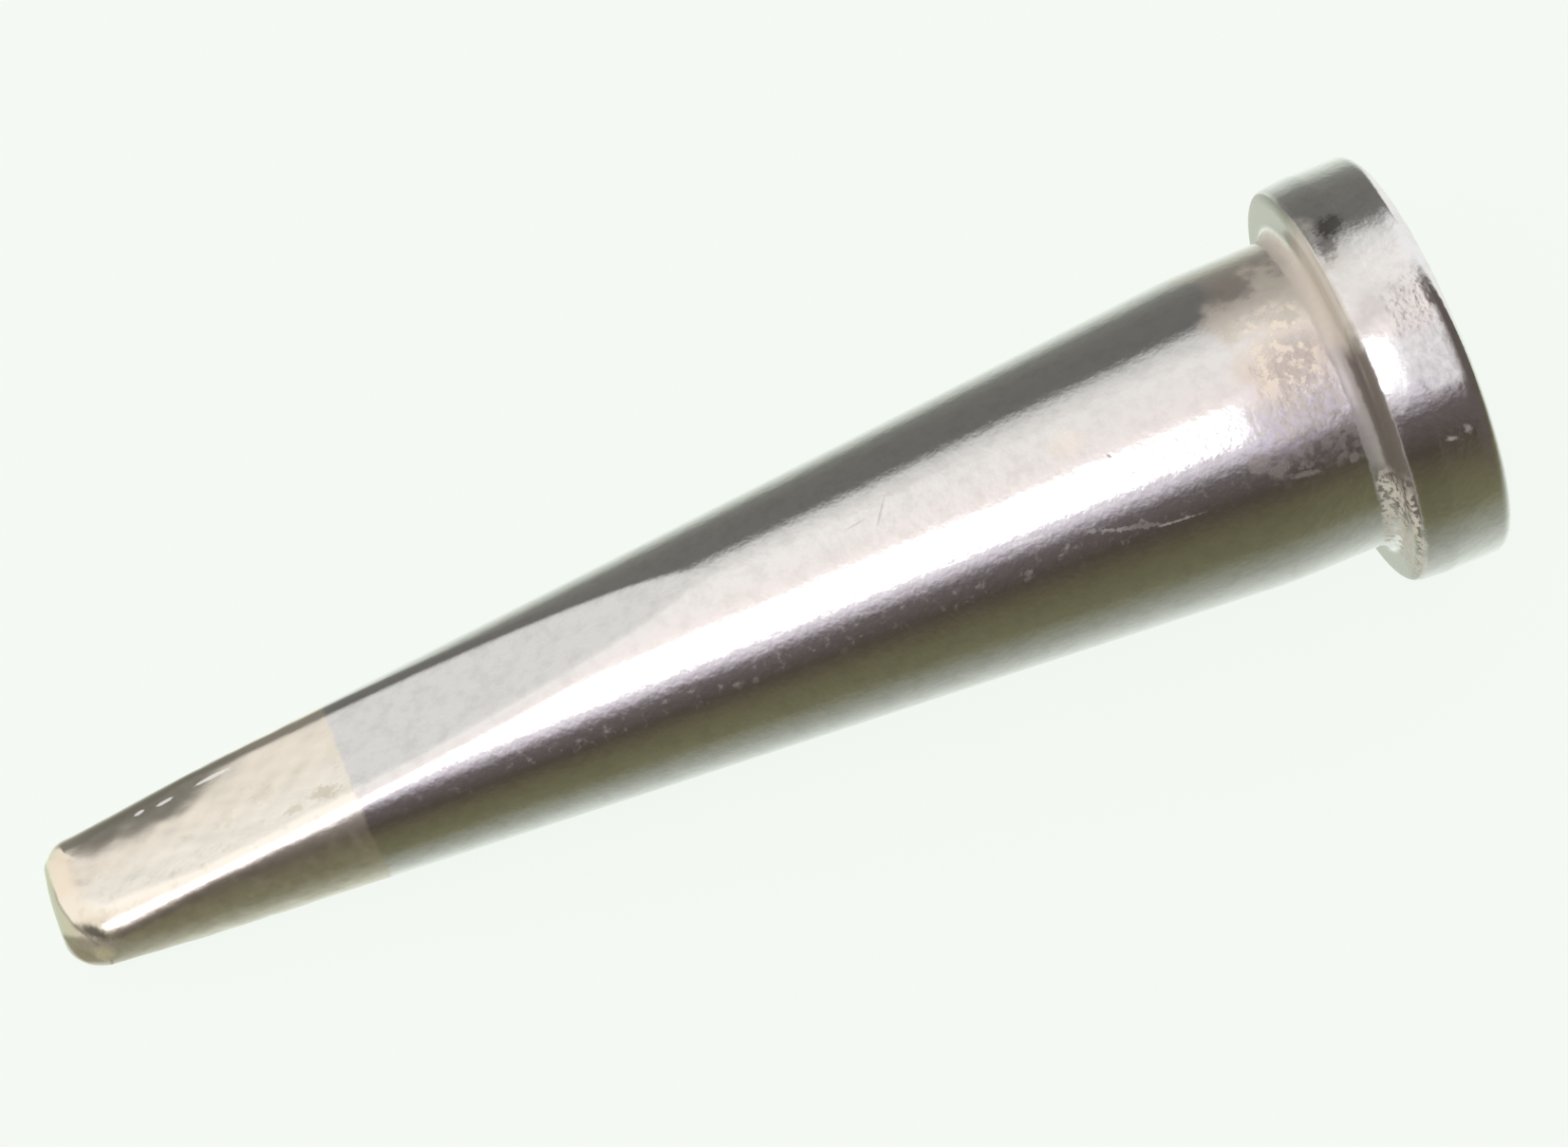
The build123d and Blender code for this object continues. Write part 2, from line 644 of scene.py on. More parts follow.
@dataclass
class NodeSheet:
    """A node tree with short calls for the nodes that the finishes are made of."""

    tree: bpy.types.NodeTree

    def add(self, kind: str, **settings: object) -> bpy.types.Node:
        """Add a node and set its properties.

        Args:
            kind: The node's type.
            **settings: The properties' names and values.

        Returns:
            The new node.
        """
        node = self.tree.nodes.new(kind)
        for name, value in settings.items():
            setattr(node, name, value)
        return node

    def feed(self, socket: Socket, value: Value | tuple[float, ...]) -> None:
        """Link a socket to another one, or set it to a value.

        Args:
            socket: The socket that is fed.
            value: The other socket, or the value.
        """
        if isinstance(value, Socket):
            self.tree.links.new(value, socket)
        else:
            socket.default_value = value

    def math(self, operation: str, first: Value, second: Value = 0.0) -> Socket:
        """Return one arithmetic step on two values.

        Args:
            operation: The step's name.
            first: The first value.
            second: The second value, where the step has one.

        Returns:
            The result.
        """
        node = self.add("ShaderNodeMath", operation=operation)
        self.feed(node.inputs[0], first)
        self.feed(node.inputs[1], second)
        return node.outputs[0]

    def product(self, *values: Value) -> Value:
        """Return the product of several values.

        Args:
            *values: The values, multiplied from the first on.

        Returns:
            The product.
        """
        total = values[0]
        for value in values[1:]:
            total = self.math("MULTIPLY", total, value)
        return total

    def dot(self, vector: Socket, direction: np.ndarray) -> Socket:
        """Return how far a vector reaches along a fixed direction.

        Args:
            vector: The vector.
            direction: The direction, of length 1.

        Returns:
            The reach.
        """
        node = self.add("ShaderNodeVectorMath", operation="DOT_PRODUCT")
        self.feed(node.inputs[0], vector)
        node.inputs[1].default_value = tuple(float(v) for v in direction)
        return node.outputs["Value"]

    def step(self, value: Value, low: float, high: float) -> Socket:
        """Return a smooth rise between two limits, or a fall if the first is the larger.

        Args:
            value: The value that is looked at.
            low: The limit where the result is 0.
            high: The limit where the result is 1.

        Returns:
            A share from 0 to 1.
        """
        node = self.add("ShaderNodeMapRange", clamp=True, interpolation_type="SMOOTHSTEP")
        flip = low > high
        self.feed(node.inputs["Value"], value)
        node.inputs["From Min"].default_value = min(low, high)
        node.inputs["From Max"].default_value = max(low, high)
        node.inputs["To Min"].default_value = 1.0 if flip else 0.0
        node.inputs["To Max"].default_value = 0.0 if flip else 1.0
        return node.outputs["Result"]

    def band(self, value: Value, start: float, end: float, soft: float) -> Socket:
        """Return 1 between two limits, with soft ends."""
        begun = self.step(value, start - soft, start + soft)
        return self.product(begun, self.step(value, end + soft, end - soft))

    def noise(self, vector: Socket, scale: float, detail: float = 3.0, rough: float = 0.5) -> Socket:
        """Return fractal noise.

        Args:
            vector: The place.
            scale: The number of features to the millimetre.
            detail: How many times finer noise is added.
            rough: How strong each finer noise is, as a share of the one before.

        Returns:
            The noise, about 0 to 1.
        """
        node = self.add("ShaderNodeTexNoise")
        self.feed(node.inputs["Vector"], vector)
        node.inputs["Scale"].default_value = scale
        node.inputs["Detail"].default_value = detail
        node.inputs["Roughness"].default_value = rough
        return node.outputs["Fac"]

    def blots(self, vector: Socket, scale: float, detail: float, rough: float,
              low: float, high: float) -> Socket:
        """Return soft-edged blots, where fractal noise rises from one level to another."""
        return self.step(self.noise(vector, scale, detail, rough), low, high)

    def wander(self, value: Value, vector: Socket, scale: float, reach: float) -> Socket:
        """Return a value moved to and fro by noise, by at most half the reach each way."""
        shift = self.product(self.math("SUBTRACT", self.noise(vector, scale), 0.5), reach)
        return self.math("ADD", value, shift)

    def mix(self, share: Value, first: Tint, second: Tint) -> Socket:
        """Return the mix of two colours.

        Args:
            share: The second colour's share.
            first: The first colour.
            second: The second colour.

        Returns:
            The mixed colour.
        """
        node = self.add("ShaderNodeMix", data_type="RGBA")
        colours = [s for s in node.inputs if s.type == "RGBA"]
        self.feed(node.inputs["Factor"], share)
        for socket, colour in zip(colours, (first, second)):
            self.feed(socket, colour if isinstance(colour, Socket) else (*colour, 1.0))
        return next(s for s in node.outputs if s.type == "RGBA")

    def blend(self, share: Value, first: Value, second: Value) -> Socket:
        """Return the mix of two numbers.

        Args:
            share: The second number's share.
            first: The first number.
            second: The second number.

        Returns:
            The mixed number.
        """
        node = self.add("ShaderNodeMix", data_type="FLOAT")
        self.feed(node.inputs["Factor"], share)
        self.feed(node.inputs["A"], first)
        self.feed(node.inputs["B"], second)
        return node.outputs["Result"]


@dataclass(frozen=True)
class Look:
    """What one finish looks like: its colour, how metallic and how rough it is."""

    colour: Tint
    metallic: Value
    roughness: Value


class Finish(Enum):
    """The looks of the bit's finishes, among them painted light, shade and reflection."""

    CHROME = Look((0.82, 0.81, 0.80), 1.0, 0.12)
    CLOUDED_CHROME = Look((0.73, 0.72, 0.705), 1.0, 0.14)
    SOLDER = Look((0.95, 0.88, 0.77), 0.93, 0.17)
    # Tarnished solder, also painted shade on the near side's lower part.
    TARNISHED_SHADED_SOLDER = Look((0.42, 0.36, 0.235), 0.97, 0.20)
    # Painted light: solder painted brighter towards the highlight.
    PAINTED_LIGHT_SOLDER = Look((1.0, 0.97, 0.89), 0.85, 0.20)
    DULL_SOLDER = Look((0.70, 0.64, 0.50), 0.70, 0.30)
    # Painted shade over the worn slope at the upper flat's far edge.
    WORN_EDGE_SHADE = Look((0.50, 0.49, 0.42), 1.0, 0.30)
    STAIN = Look((0.81, 0.73, 0.66), 0.90, 0.20)
    PALE_STAIN = Look((0.61, 0.57, 0.50), 0.35, 0.40)
    GRAIN = Look((1.0, 0.89, 0.77), 0.38, 0.38)
    BLUE_TINT = Look((0.84, 0.82, 0.93), 0.85, 0.20)
    # Pale blue heat tint, also a painted highlight beside the collar's highlight.
    PALE_BLUE_HIGHLIGHT = Look((0.97, 0.97, 1.0), 0.20, 0.25)
    CRUST = Look((0.60, 0.56, 0.49), 0.10, 0.55)
    # Dark dirt, and painted shade at the nose and on the collar's front face.
    DIRT_AND_SHADE = Look((0.15, 0.125, 0.11), 0.25, 0.45)
    ROOT_CRUST = Look((0.61, 0.555, 0.50), 0.15, 0.50)
    # Painted half shade, on the cylinder's stain and the collar's root.
    HALF_SHADE = Look((0.36, 0.325, 0.33), 0.25, 0.40)
    # Painted deep shade low on the collar's root.
    ROOT_DEEP_SHADE = Look((0.17, 0.15, 0.125), 0.30, 0.40)
    FACE_FILM = Look((0.33, 0.34, 0.28), 0.70, 0.28)
    # Painted reflection: the greenish tint of the nose's rounded end.
    NOSE_RIM_REFLECTION = Look((0.62, 0.64, 0.50), 0.85, 0.25)
    OLIVE_RESIN = Look((0.70, 0.64, 0.42), 0.45, 0.30)
    SOOT = Look((0.10, 0.09, 0.08), 1.0, 0.45)
    GREY_SMEAR = Look((0.46, 0.42, 0.40), 0.70, 0.30)
    # Painted glint: a near-white, mostly matt look.
    GLINT = Look((0.97, 0.96, 0.94), 0.20, 0.30)


Layers = list[tuple[Value, Finish]]


@dataclass(frozen=True)
class Mark:
    """A small stain, scratch or painted glint: its place along and round the bit, half sizes, slant, finish
    and edge.
    """

    x: float
    angle: float
    half_length: float
    half_width: float
    slant: float
    finish: Finish
    ragged: float = 0.3
    strength: float = 1.0
    soft: float = 0.25


@dataclass(frozen=True)
class SkinPlace:
    """A place on the skin, as the finish reads it.

    It holds the place as a vector, how far it is along the axis, to the far side and up, and its angle
    round the bit in degrees, from the middle of the facing side, downwards.
    """

    vector: Socket
    x: Socket
    y: Socket
    z: Socket
    angle: Socket

    @classmethod
    def read(cls, sheet: NodeSheet, facing: float) -> "SkinPlace":
        """Read the place from the mesh.

        Args:
            sheet: The node sheet to add to.
            facing: The angle round the axis from the upper flat's normal to the facing side.

        Returns:
            The place.
        """
        vector = sheet.add("ShaderNodeAttribute", attribute_name="place").outputs["Vector"]
        parts = sheet.add("ShaderNodeSeparateXYZ")
        sheet.feed(parts.inputs[0], vector)
        towards, down = facing_axes(facing)
        turn = sheet.math("ARCTAN2", sheet.dot(vector, down), sheet.dot(vector, towards))
        angle = sheet.math("MULTIPLY", turn, 180 / math.pi)
        return cls(vector, parts.outputs["X"], parts.outputs["Y"], parts.outputs["Z"], angle)


@dataclass(frozen=True)
class Zone:
    """A soft-edged patch of the skin: its stretch along the axis and, in degrees, its stretch round it."""

    start: float
    end: float
    soft: float
    upper: float
    lower: float
    round_soft: float

    def share(self, sheet: NodeSheet, x: Value, angle: Value) -> Socket:
        """Return 1 inside the patch and 0 outside it, for a place along the axis and an angle round it."""
        along = sheet.band(x, self.start, self.end, self.soft)
        return sheet.product(along, sheet.band(angle, self.upper, self.lower, self.round_soft))


@dataclass(frozen=True)
class PlatedMetal:
    """The bit's whole finish, layer upon layer: plating, solder coat, heat stain, residue, painted light
    and shade, and small marks.

    The plating's own surface is pebbled, less so on the upper flat and the near edge beside it, and
    grained. Both heights are in millimetres. The milled part fades between two places along the axis, and
    between two angles round it.
    """

    sizes: BitSizes
    facing: float
    pebble: float = 0.0042
    milled_share: float = 0.4
    milled_fade: tuple[float, float] = (16.8, 14.0)
    milled_turn: tuple[float, float] = (-2.0, -14.0)
    grain: float = 0.0010
    marks: tuple[Mark, ...] = ()

    def material(self) -> bpy.types.Material:
        """Make the material.

        Returns:
            The new material.
        """
        material = bpy.data.materials.new("plated_metal")
        material.use_nodes = True
        sheet = NodeSheet(material.node_tree)
        shader = sheet.tree.nodes["Principled BSDF"]
        skin = SkinPlace.read(sheet, self.facing)
        look = Finish.CHROME.value
        for share, finish in self.layers(sheet, skin):
            look = self.cover(sheet, share, look, finish.value)
        sheet.feed(shader.inputs["Base Color"], look.colour)
        sheet.feed(shader.inputs["Metallic"], look.metallic)
        sheet.feed(shader.inputs["Roughness"], look.roughness)
        bump = sheet.add("ShaderNodeBump")
        bump.inputs["Strength"].default_value = 1.0
        bump.inputs["Distance"].default_value = MM
        sheet.feed(bump.inputs["Height"], self.relief(sheet, skin))
        sheet.feed(shader.inputs["Normal"], bump.outputs["Normal"])
        return material

    def relief(self, sheet: NodeSheet, skin: SkinPlace) -> Socket:
        """Return the height of the surface's pebbles and grain.

        Args:
            sheet: The node sheet to add to.
            skin: The place on the bit.

        Returns:
            The height in millimetres.
        """
        milled = sheet.product(sheet.step(skin.x, *self.milled_fade),
                               sheet.step(skin.angle, *self.milled_turn))
        height = sheet.blend(milled, self.pebble, self.milled_share * self.pebble)
        pebbles = sheet.product(sheet.noise(skin.vector, 6.0, 1.0, 0.5), height)
        grains = sheet.product(sheet.noise(skin.vector, 17.0, 2.0, 0.6), self.grain)
        return sheet.math("ADD", pebbles, grains)

    def cover(self, sheet: NodeSheet, share: Value, under: Look, over: Look) -> Look:
        """Lay one look over another by its share.

        Args:
            sheet: The node sheet to add to.
            share: The upper look's share.
            under: The lower look.
            over: The upper look.

        Returns:
            The look that the two make.
        """
        return Look(sheet.mix(share, under.colour, over.colour),
                    sheet.blend(share, under.metallic, over.metallic),
                    sheet.blend(share, under.roughness, over.roughness))

    def layers(self, sheet: NodeSheet, skin: SkinPlace) -> Layers:
        """Return the layers over the plating, from the lowest up.

        Args:
            sheet: The node sheet to add to.
            skin: The place on the bit.

        Returns:
            Pairs of a share and the finish that it lays on.
        """
        clouds = sheet.product(sheet.blots(skin.vector, 2.6, 3.0, 0.6, 0.40, 0.72), 0.8)
        # Painted glints: near-white specks in the dark band below the highlight.
        specks = sheet.product(sheet.band(skin.angle, 9, 24, 4), sheet.band(skin.x, 9, 28, 2),
                               sheet.blots(skin.vector, 4.5, 2.0, 0.6, 0.55, 0.80), 0.22)
        found = [(clouds, Finish.CLOUDED_CHROME), (specks, Finish.GLINT)]
        found += self.tinned_layers(sheet, skin)
        found += self.rim_layers(sheet, skin)
        found += self.stain_layers(sheet, skin)
        found += self.root_layers(sheet, skin)
        return found + [(self.spot(sheet, skin, mark), mark.finish) for mark in self.marks]

    def tinned_layers(self, sheet: NodeSheet, skin: SkinPlace) -> Layers:
        """Return the solder coat: tarnish with painted shade on the near side, painted light beside it,
        dull spots, and painted shade on the worn far edge.

        Args:
            sheet: The node sheet to add to.
            skin: The place on the bit.

        Returns:
            Pairs of a share and the finish that it lays on.
        """
        end = self.sizes.tin_length
        tinned = sheet.step(sheet.wander(skin.x, skin.vector, 2.4, 0.22), end + 0.06, end - 0.06)
        blotches = sheet.blots(skin.vector, 2.8, 3.0, 0.6, 0.25, 0.65)
        # Tarnish and painted shade: the solder is darker from below the facing side's middle round to the
        # back.
        tarnish_and_shade = sheet.product(tinned, sheet.step(skin.angle, 12, 26), sheet.blend(blotches, 1.0, 0.72))
        # Painted light: the solder is painted brighter from the upper flat down past the highlight, less so
        # further down.
        bright = sheet.product(tinned, sheet.step(sheet.wander(skin.angle, skin.vector, 1.4, 24), -46, -8),
                               sheet.blend(sheet.step(skin.angle, 6, 20), 0.75, 0.45))
        spots = sheet.blots(skin.vector, 2.6, 2.0, 0.5, 0.55, 0.72)
        dull = sheet.product(tinned, spots, sheet.step(skin.angle, -60, -20), 0.22)
        # Painted shade: a darker band along the upper flat's far edge near the nose, over the worn slope.
        worn = sheet.product(sheet.step(sheet.wander(skin.y, skin.vector, 2.0, 0.3), 0.30, 1.05),
                             sheet.step(skin.z, 0.1, 0.5),
                             sheet.band(sheet.wander(skin.x, skin.vector, 1.5, 1.2), 1.0, 4.9, 0.9), 0.6)
        return [(tinned, Finish.SOLDER), (tarnish_and_shade, Finish.TARNISHED_SHADED_SOLDER), (bright, Finish.PAINTED_LIGHT_SOLDER),
                (dull, Finish.DULL_SOLDER), (worn, Finish.WORN_EDGE_SHADE)]

    def rim_layers(self, sheet: NodeSheet, skin: SkinPlace) -> Layers:
        """Return the greenish rim round the nose end, a painted reflection, and the dark line behind it, a
        painted shade.

        Formula: the line runs behind the nose end by a fixed length and, on the near side, by one that
        grows with the distance to the side and with its square.

        Args:
            sheet: The node sheet to add to.
            skin: The place on the bit.

        Returns:
            Pairs of a share and the finish that it lays on.
        """
        near = sheet.math("MINIMUM", skin.y, 0.0)
        border = sheet.math("ADD", sheet.product(near, -0.09), sheet.product(near, near, 0.20))
        behind = sheet.wander(sheet.math("SUBTRACT", skin.x, border), skin.vector, 3.0, 0.06)
        behind = sheet.math("SUBTRACT", behind, 0.20)
        # Painted reflection: a greenish tint on the nose's rounded end, away from the near side.
        rim = sheet.product(sheet.step(behind, 0.04, -0.06), sheet.step(skin.y, -1.25, -0.75))
        # Painted shade: a dark line just behind the nose end, on the near side and the middle.
        line = sheet.product(sheet.band(behind, -0.03, 0.03, 0.03), sheet.step(skin.y, 0.7, 0.1), 0.55)
        return [(rim, Finish.NOSE_RIM_REFLECTION), (line, Finish.DIRT_AND_SHADE)]

    def stain_layers(self, sheet: NodeSheet, skin: SkinPlace) -> Layers:
        """Return the heat stain on the cylinder: brown and pale films, a painted shade, a smear, blue
        tints, a painted highlight on the collar, and grains.

        Args:
            sheet: The node sheet to add to.
            skin: The place on the bit.

        Returns:
            Pairs of a share and the finish that it lays on.
        """
        start, end = self.sizes.cone_length, self.sizes.collar_front
        x, angle, vector = skin.x, skin.angle, skin.vector
        ragged = sheet.wander(x, vector, 1.1, 2.6)
        turned = sheet.wander(angle, vector, 1.2, 30)
        ahead = sheet.step(x, end, end - 0.1)
        brown = sheet.product(Zone(start + 0.25, end + 0.6, 0.45, -78, 9, 10).share(sheet, ragged, turned),
                              ahead, sheet.blots(vector, 2.5, 4.0, 0.6, 0.16, 0.46), 0.85)
        pale = sheet.product(Zone(start + 1.5, end + 0.4, 0.3, -60, -30, 7).share(sheet, ragged, turned),
                             ahead, sheet.blots(vector, 1.6, 2.0, 0.5, 0.26, 0.62), 0.9)
        bordered = Zone(start + 0.3, end + 0.3, 0.4, -46, -31, 5)
        rim = sheet.product(bordered.share(sheet, ragged, turned), 0.60)
        shaded = Zone(start + 1.0, end + 0.6, 0.5, -22, 6, 8)
        shade = sheet.product(shaded.share(sheet, ragged, turned), 0.30)
        smear = sheet.product(Zone(start - 0.1, end, 0.3, 7, 22, 4).share(sheet, ragged, turned),
                              sheet.blots(vector, 5.0, 3.0, 0.6, 0.40, 0.62), 0.75)
        speckle = sheet.blots(vector, 4.5, 2.0, 0.5, 0.30, 0.70)
        blue = sheet.product(Zone(start - 0.35, end - 0.3, 0.12, -7, 15, 4).share(sheet, x, turned),
                             speckle, 0.6)
        # Blue heat tint and painted highlight: a pale, mostly matt bluish patch beside the collar's
        # highlight.
        collar_tint_and_highlight = sheet.product(Zone(end + 0.35, end + 2.0, 0.1, -9, 10, 4).share(sheet, x, turned),
                                    sheet.blend(speckle, 0.55, 0.9))
        grains = sheet.product(sheet.blots(vector, 3.6, 2.5, 0.6, 0.47, 0.60), 0.85)
        grained = Zone(start + 0.50, start + 1.95, 0.2, -36, -5, 5)
        grain = sheet.product(grained.share(sheet, sheet.wander(x, vector, 2.0, 0.5),
                                            sheet.wander(angle, vector, 2.0, 14)), grains)
        return [(brown, Finish.STAIN), (shade, Finish.HALF_SHADE), (pale, Finish.PALE_STAIN),
                (rim, Finish.PALE_STAIN), (smear, Finish.GREY_SMEAR),
                (blue, Finish.BLUE_TINT), (collar_tint_and_highlight, Finish.PALE_BLUE_HIGHLIGHT), (grain, Finish.GRAIN)]

    def root_layers(self, sheet: NodeSheet, skin: SkinPlace) -> Layers:
        """Return the film, crust and dirt round the collar's root and on its front face, with painted shade
        on their middle and lower parts.

        Args:
            sheet: The node sheet to add to.
            skin: The place on the bit.

        Returns:
            Pairs of a share and the finish that it lays on.
        """
        front = self.sizes.collar_front
        x, vector = skin.x, skin.vector
        turned = sheet.wander(skin.angle, vector, 1.5, 14)
        film = sheet.product(sheet.band(x, front - 0.03, front + 0.12, 0.03), 0.95)
        edge = sheet.wander(x, vector, 3.0, 0.10)
        root = sheet.band(edge, front - 0.42, front - 0.07, 0.05)
        patches = sheet.blots(vector, 4.0, 4.0, 0.6, 0.3, 0.6)
        pale = sheet.product(root, sheet.step(turned, -8, -22), sheet.blend(patches, 0.6, 0.95))
        # Painted half shade and deep shade on the root, from just above the middle downwards; the crust
        # above stays pale.
        half_shade = sheet.product(root, sheet.band(turned, -14, 30, 8), 0.85)
        deep_shade = sheet.product(root, sheet.band(turned, 30, 48, 6), 0.8)
        faced = Zone(front - 0.09, front + 0.12, 0.04, -50, -6, 8)
        face = sheet.product(faced.share(sheet, edge, turned), 0.85)
        # Dirt and painted shade on the middle of the front face.
        soiled = Zone(front - 0.10, front + 0.19, 0.04, -10, 50, 5)
        dirt_and_shade = sheet.product(soiled.share(sheet, edge, turned), 0.95)
        crusted = Zone(front - 0.38, front + 0.16, 0.08, 34, 80, 8)
        crust = sheet.product(crusted.share(sheet, sheet.wander(x, vector, 4.0, 0.2), turned),
                              sheet.blots(vector, 5.0, 3.0, 0.6, 0.44, 0.54))
        return [(film, Finish.FACE_FILM), (pale, Finish.ROOT_CRUST), (face, Finish.ROOT_CRUST),
                (half_shade, Finish.HALF_SHADE), (deep_shade, Finish.ROOT_DEEP_SHADE), (dirt_and_shade, Finish.DIRT_AND_SHADE),
                (crust, Finish.CRUST)]

    def spot(self, sheet: NodeSheet, skin: SkinPlace, mark: Mark) -> Socket:
        """Return the share of one mark: 1 inside a slanted ragged ellipse, 0 outside it.

        Formula: the root of the sum of the squares of the reaches along and across the slanted ellipse,
        each over its half size, is 1 on the ellipse's line, which noise moves to and fro.

        Args:
            sheet: The node sheet to add to.
            skin: The place on the bit.
            mark: The mark.

        Returns:
            The share.
        """
        per_degree = math.radians(self.sizes.turned_radius(mark.x))
        along = sheet.math("SUBTRACT", skin.x, mark.x)
        across = sheet.product(sheet.math("SUBTRACT", skin.angle, mark.angle), per_degree)
        cos, sin = math.cos(math.radians(mark.slant)), math.sin(math.radians(mark.slant))
        first = sheet.math("ADD", sheet.product(along, cos / mark.half_length),
                           sheet.product(across, sin / mark.half_length))
        second = sheet.math("SUBTRACT", sheet.product(across, cos / mark.half_width),
                            sheet.product(along, sin / mark.half_width))
        square = sheet.math("ADD", sheet.product(first, first), sheet.product(second, second))
        ragged = sheet.wander(sheet.math("SQRT", square), skin.vector, 8.0, mark.ragged * 2)
        return sheet.product(sheet.step(ragged, 1 + mark.soft, 1 - mark.soft), mark.strength)


def small_marks() -> tuple[Mark, ...]:
    """Return the bit's small stains, painted glints and scratches.

    Returns:
        The marks, from the nose to the collar.
    """
    return (
        # The first two marks are a dark spot at the nose's near corner, where the edge highlight begins.
        Mark(0.80, 29, 0.34, 0.15, 30, Finish.SOOT, 0.5, 0.95, 0.7),
        Mark(0.90, 43, 0.42, 0.20, 10, Finish.DIRT_AND_SHADE, 0.8, 0.45, 0.7),
        Mark(0.80, 52, 0.22, 0.26, 0, Finish.OLIVE_RESIN, 0.6, 0.7, 0.5),
        Mark(2.65, -81.3, 0.12, 0.050, 0, Finish.GLINT, 0.3, 0.9),
        Mark(3.28, -77.9, 0.20, 0.050, 3, Finish.GLINT, 0.3, 0.9),
        Mark(4.50, -71.9, 0.43, 0.050, 7, Finish.GLINT, 0.4, 0.9),
        Mark(6.05, -6, 0.22, 0.10, -8, Finish.DULL_SOLDER, 1.0, 0.5, 0.5),
        Mark(6.80, -9, 0.30, 0.16, 10, Finish.DULL_SOLDER, 1.2, 0.6, 0.5),
        Mark(7.55, -3, 0.12, 0.10, 0, Finish.GLINT, 0.8, 0.5, 0.5),
        Mark(20.77, -25.1, 0.34, 0.030, -55, Finish.GREY_SMEAR, 0.6, 0.4, 0.6),
        Mark(20.15, -24.5, 0.24, 0.025, -6, Finish.GREY_SMEAR, 0.6, 0.3, 0.6),
        Mark(23.60, 9.2, 0.34, 0.040, 6, Finish.GLINT, 1.4, 0.45, 0.6),
        Mark(25.30, 16.5, 0.40, 0.040, 18, Finish.GLINT, 2.4, 0.28, 0.6),
        Mark(26.20, 20.5, 0.40, 0.050, 14, Finish.GREY_SMEAR, 2.0, 0.8, 0.5),
        Mark(26.85, 22.7, 0.46, 0.025, 4, Finish.GLINT, 1.6, 0.30, 0.6),
        Mark(25.93, -8.8, 0.07, 0.04, 60, Finish.SOOT, 0.7, 0.6, 0.4),
        Mark(25.15, -19, 0.36, 0.32, 0, Finish.GRAIN, 1.0, 0.35, 0.5),
        Mark(28.95, 14, 0.24, 0.22, 0, Finish.GREY_SMEAR, 0.8, 0.8, 0.4),
        Mark(29.35, 18.5, 0.20, 0.14, -20, Finish.GREY_SMEAR, 0.9, 0.8, 0.4),
        Mark(29.90, 23.5, 0.26, 0.07, 10, Finish.GREY_SMEAR, 1.2, 0.8, 0.4),
        Mark(31.05, 24.5, 0.10, 0.12, 0, Finish.GREY_SMEAR, 1.0, 0.8, 0.4),
        Mark(32.52, -44.0, 0.34, 0.32, 20, Finish.SOOT, 0.8, 0.90, 0.4),
        Mark(32.26, -39.0, 0.42, 0.20, 110, Finish.SOOT, 0.8, 0.70, 0.5),
        Mark(33.05, 24, 0.16, 0.05, 20, Finish.GLINT, 1.8, 0.35, 0.6),
        Mark(33.45, 23, 0.08, 0.10, 0, Finish.GLINT, 1.2, 0.30, 0.6),
    )


@dataclass
class TipBody:
    """The whole bit as one closed skin."""

    sizes: BitSizes
    facing: float
    columns: int = 208
    blade: Blade = field(init=False)
    rear: TurnedRear = field(init=False)

    def __post_init__(self) -> None:
        """Make the blade and the rear from the bit's sizes."""
        self.blade = Blade(self.sizes, BladeEdges(), SolderCoat(self.sizes.tin_length))
        self.rear = TurnedRear(self.sizes, self.blade.end)

    def build(self, place: BitPlace) -> bpy.types.Object:
        """Make the skin, dress it and let it stand for the bit.

        Args:
            place: Where the bit lies.

        Returns:
            The finished piece.
        """
        around = np.linspace(0, 2 * math.pi, self.columns, endpoint=False)
        rings = np.concatenate([self.blade.grid(around), self.rear.grid(around)[1:]])
        piece = closed_mesh("tip_skin", rings, place)
        finish = PlatedMetal(self.sizes, self.facing, marks=small_marks())
        piece.data.materials.append(finish.material())
        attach(piece, "root")
        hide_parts("tip_body")
        return piece


@dataclass(frozen=True)
class Strip:
    """One stop of the studio's light: the angle of the surface that mirrors it, and its colour."""

    angle: float
    colour: Colour


